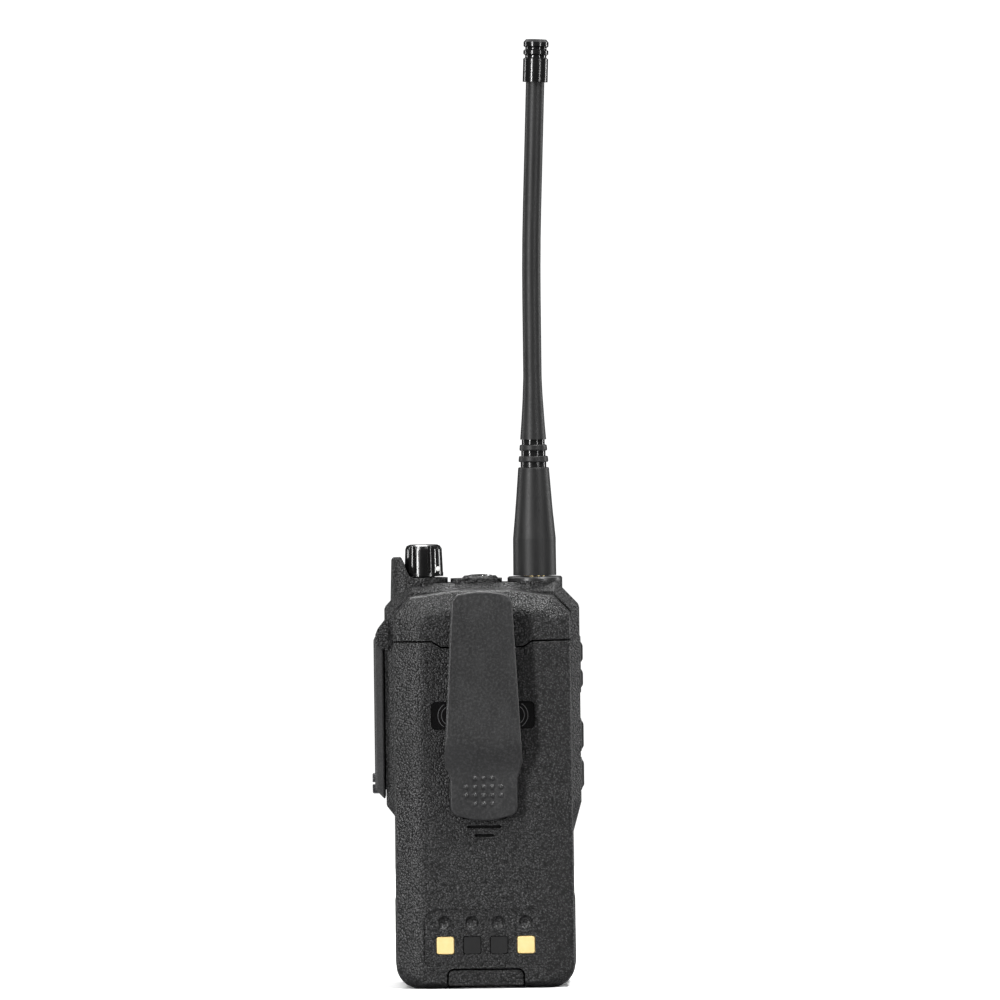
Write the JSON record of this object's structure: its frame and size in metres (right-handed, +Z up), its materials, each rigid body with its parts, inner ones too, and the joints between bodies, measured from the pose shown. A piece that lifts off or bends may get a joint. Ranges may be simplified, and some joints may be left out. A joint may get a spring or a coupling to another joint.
{
  "type": "handheld two-way radio",
  "caption": "Rugged handheld two-way radio with a screw-on whip antenna, volume knob, slide-off battery pack, sprung belt clip, push-to-talk key and keypad.",
  "frame": {"origin": "on the flat foot the radio stands on, at mid width, 20 mm behind the keypad face", "axes": "+Z up along the antenna; -Y out of the display and keypad; +Y out of the belt clip; -X out of the push-to-talk key; +X out of the headset port cover"},
  "size_m": [0.0618, 0.0474, 0.2752],
  "materials": {
    "case_black": "spark-eroded grain",
    "clip_plastic": "smooth satin",
    "cover_rubber": "fine matte",
    "seal_rubber": "smooth",
    "screw_steel": "blackened",
    "window_clear": "polished",
    "display_glass": "reflective liquid crystal panel",
    "membrane": "polyester film",
    "speaker_paper": "treated paper and steel",
    "microphone_metal": "plain",
    "circuit_board": "solder resist",
    "shield_metal": "tinned",
    "control_metal": "plain",
    "gloss_black": "polished",
    "lens_clear": "moulded clear",
    "gold_contact": "gold plated",
    "side_rubber": "moulded",
    "switch_metal": "plain",
    "dark_steel": "blackened, slotted",
    "jack_plastic": "moulded",
    "antenna_rubber": "satin",
    "spring_steel": "drawn wire",
    "brass_insert": "machined",
    "cell_foil": "laminate pouch",
    "label_gloss": "glossy inlay",
    "key_rubber": "satin silicone"
  },
  "bodies": {
    "radio": {"front_shell": "case_black", "rear_shell": "case_black", "case_seals": "seal_rubber", "screws": "screw_steel", "display_window": "window_clear", "display_module": "display_glass", "keypad_dome_sheet": "membrane", "speaker": "speaker_paper", "microphone": "microphone_metal", "main_board": "circuit_board", "shield_can": "shield_metal", "volume_control": "control_metal", "torch_lens": "lens_clear", "torch_led": "circuit_board", "contact_springs": "gold_contact", "side_switches": "switch_metal", "accessory_jacks": "jack_plastic", "antenna_socket": "brass_insert", "antenna_seat_ring": "seal_rubber", "belt_clip_bracket": "clip_plastic", "belt_clip_pin": "spring_steel", "belt_clip_spring": "spring_steel"},
    "antenna_pin": {"antenna_center_pin": "gold_contact"},
    "antenna": {"antenna_sleeve": "antenna_rubber", "antenna_radiator": "spring_steel", "antenna_tip_cap": "gloss_black", "antenna_connector": "brass_insert"},
    "knob": {"volume_knob": "gloss_black", "volume_shaft": "control_metal"},
    "push_to_talk": {"ptt_button": "side_rubber"},
    "upper_side_key": {"side_key_upper": "side_rubber"},
    "lower_side_key": {"side_key_lower": "side_rubber"},
    "cover": {"port_cover": "cover_rubber", "port_cover_seal": "seal_rubber"},
    "cover_screw": {"port_thumb_screw": "dark_steel"},
    "clip": {"belt_clip": "clip_plastic"},
    "battery": {"battery_shell": "case_black", "battery_inner_cover": "case_black", "battery_cells": "cell_foil", "battery_board": "circuit_board", "battery_contacts": "gold_contact", "battery_label": "label_gloss", "latch_springs": "spring_steel"},
    "latch": {"battery_latch": "case_black"},
    "keypad_1": {"key_1": "key_rubber"},
    "keypad_2": {"key_2": "key_rubber"},
    "keypad_3": {"key_3": "key_rubber"},
    "keypad_menu": {"key_menu": "key_rubber"},
    "keypad_4": {"key_4": "key_rubber"},
    "keypad_5": {"key_5": "key_rubber"},
    "keypad_6": {"key_6": "key_rubber"},
    "keypad_up": {"key_up": "key_rubber"},
    "keypad_7": {"key_7": "key_rubber"},
    "keypad_8": {"key_8": "key_rubber"},
    "keypad_9": {"key_9": "key_rubber"},
    "keypad_down": {"key_down": "key_rubber"},
    "keypad_star": {"key_star": "key_rubber"},
    "keypad_0": {"key_0": "key_rubber"},
    "keypad_hash": {"key_hash": "key_rubber"},
    "keypad_exit": {"key_exit": "key_rubber"}
  },
  "joints": [
    {"name": "antenna_lift", "type": "slide", "parent": "radio", "child": "antenna_pin", "axis": [0, 0, 1], "range_m": [0, 0.00353]},
    {"name": "antenna_turn", "type": "hinge", "parent": "antenna_pin", "child": "antenna", "pos_m": [-0.0156, -0.005, 0.1189], "axis": [0, 0, 1], "range_deg": [0, 1800]},
    {"name": "knob_turn", "type": "hinge", "parent": "radio", "child": "knob", "pos_m": [0.0168, -0.005, 0.119], "axis": [0, 0, -1], "range_deg": [0, 280]},
    {"name": "push_to_talk_press", "type": "slide", "parent": "radio", "child": "push_to_talk", "axis": [1, 0, 0], "range_m": [0, 0.0008], "stiffness_N_per_m": 1800, "springref_m": -0.0005},
    {"name": "upper_side_key_press", "type": "slide", "parent": "radio", "child": "upper_side_key", "axis": [1, 0, 0], "range_m": [0, 0.0008], "stiffness_N_per_m": 1500, "springref_m": -0.0004},
    {"name": "lower_side_key_press", "type": "slide", "parent": "radio", "child": "lower_side_key", "axis": [1, 0, 0], "range_m": [0, 0.0008], "stiffness_N_per_m": 1500, "springref_m": -0.0004},
    {"name": "cover_swing", "type": "hinge", "parent": "radio", "child": "cover", "pos_m": [0.0302, -0.0065, 0.1003], "axis": [0, -1, 0], "range_deg": [0, 80]},
    {"name": "cover_screw_turn", "type": "hinge", "parent": "cover", "child": "cover_screw", "pos_m": [0.0317, -0.0065, 0.0586], "axis": [1, 0, 0], "continuous": true},
    {"name": "clip_open", "type": "hinge", "parent": "radio", "child": "clip", "pos_m": [0, 0.0228, 0.1075], "axis": [1, 0, 0], "range_deg": [0, 18], "stiffness_Nm_per_rad": 1.2, "springref_deg": -5.73},
    {"name": "battery_slide", "type": "slide", "parent": "radio", "child": "battery", "axis": [0, 0, -1], "range_m": [0, 0.012]},
    {"name": "latch_release", "type": "slide", "parent": "battery", "child": "latch", "axis": [0, 1, 0], "range_m": [0, 0.0015], "stiffness_N_per_m": 800, "springref_m": -0.0008, "deforming": ["latch_springs"]},
    {"name": "key_1_press", "type": "slide", "parent": "radio", "child": "keypad_1", "axis": [0, 1, 0], "range_m": [0, 0.0006], "stiffness_N_per_m": 1500, "springref_m": -0.0004},
    {"name": "key_2_press", "type": "slide", "parent": "radio", "child": "keypad_2", "axis": [0, 1, 0], "range_m": [0, 0.0006], "stiffness_N_per_m": 1500, "springref_m": -0.0004},
    {"name": "key_3_press", "type": "slide", "parent": "radio", "child": "keypad_3", "axis": [0, 1, 0], "range_m": [0, 0.0006], "stiffness_N_per_m": 1500, "springref_m": -0.0004},
    {"name": "key_menu_press", "type": "slide", "parent": "radio", "child": "keypad_menu", "axis": [0, 1, 0], "range_m": [0, 0.0006], "stiffness_N_per_m": 1500, "springref_m": -0.0004},
    {"name": "key_4_press", "type": "slide", "parent": "radio", "child": "keypad_4", "axis": [0, 1, 0], "range_m": [0, 0.0006], "stiffness_N_per_m": 1500, "springref_m": -0.0004},
    {"name": "key_5_press", "type": "slide", "parent": "radio", "child": "keypad_5", "axis": [0, 1, 0], "range_m": [0, 0.0006], "stiffness_N_per_m": 1500, "springref_m": -0.0004},
    {"name": "key_6_press", "type": "slide", "parent": "radio", "child": "keypad_6", "axis": [0, 1, 0], "range_m": [0, 0.0006], "stiffness_N_per_m": 1500, "springref_m": -0.0004},
    {"name": "key_up_press", "type": "slide", "parent": "radio", "child": "keypad_up", "axis": [0, 1, 0], "range_m": [0, 0.0006], "stiffness_N_per_m": 1500, "springref_m": -0.0004},
    {"name": "key_7_press", "type": "slide", "parent": "radio", "child": "keypad_7", "axis": [0, 1, 0], "range_m": [0, 0.0006], "stiffness_N_per_m": 1500, "springref_m": -0.0004},
    {"name": "key_8_press", "type": "slide", "parent": "radio", "child": "keypad_8", "axis": [0, 1, 0], "range_m": [0, 0.0006], "stiffness_N_per_m": 1500, "springref_m": -0.0004},
    {"name": "key_9_press", "type": "slide", "parent": "radio", "child": "keypad_9", "axis": [0, 1, 0], "range_m": [0, 0.0006], "stiffness_N_per_m": 1500, "springref_m": -0.0004},
    {"name": "key_down_press", "type": "slide", "parent": "radio", "child": "keypad_down", "axis": [0, 1, 0], "range_m": [0, 0.0006], "stiffness_N_per_m": 1500, "springref_m": -0.0004},
    {"name": "key_star_press", "type": "slide", "parent": "radio", "child": "keypad_star", "axis": [0, 1, 0], "range_m": [0, 0.0006], "stiffness_N_per_m": 1500, "springref_m": -0.0004},
    {"name": "key_0_press", "type": "slide", "parent": "radio", "child": "keypad_0", "axis": [0, 1, 0], "range_m": [0, 0.0006], "stiffness_N_per_m": 1500, "springref_m": -0.0004},
    {"name": "key_hash_press", "type": "slide", "parent": "radio", "child": "keypad_hash", "axis": [0, 1, 0], "range_m": [0, 0.0006], "stiffness_N_per_m": 1500, "springref_m": -0.0004},
    {"name": "key_exit_press", "type": "slide", "parent": "radio", "child": "keypad_exit", "axis": [0, 1, 0], "range_m": [0, 0.0006], "stiffness_N_per_m": 1500, "springref_m": -0.0004}
  ],
  "couplings": [
    {"joint": "antenna_turn", "follows": "antenna_lift", "rad_per_m": 8904.7}
  ]
}
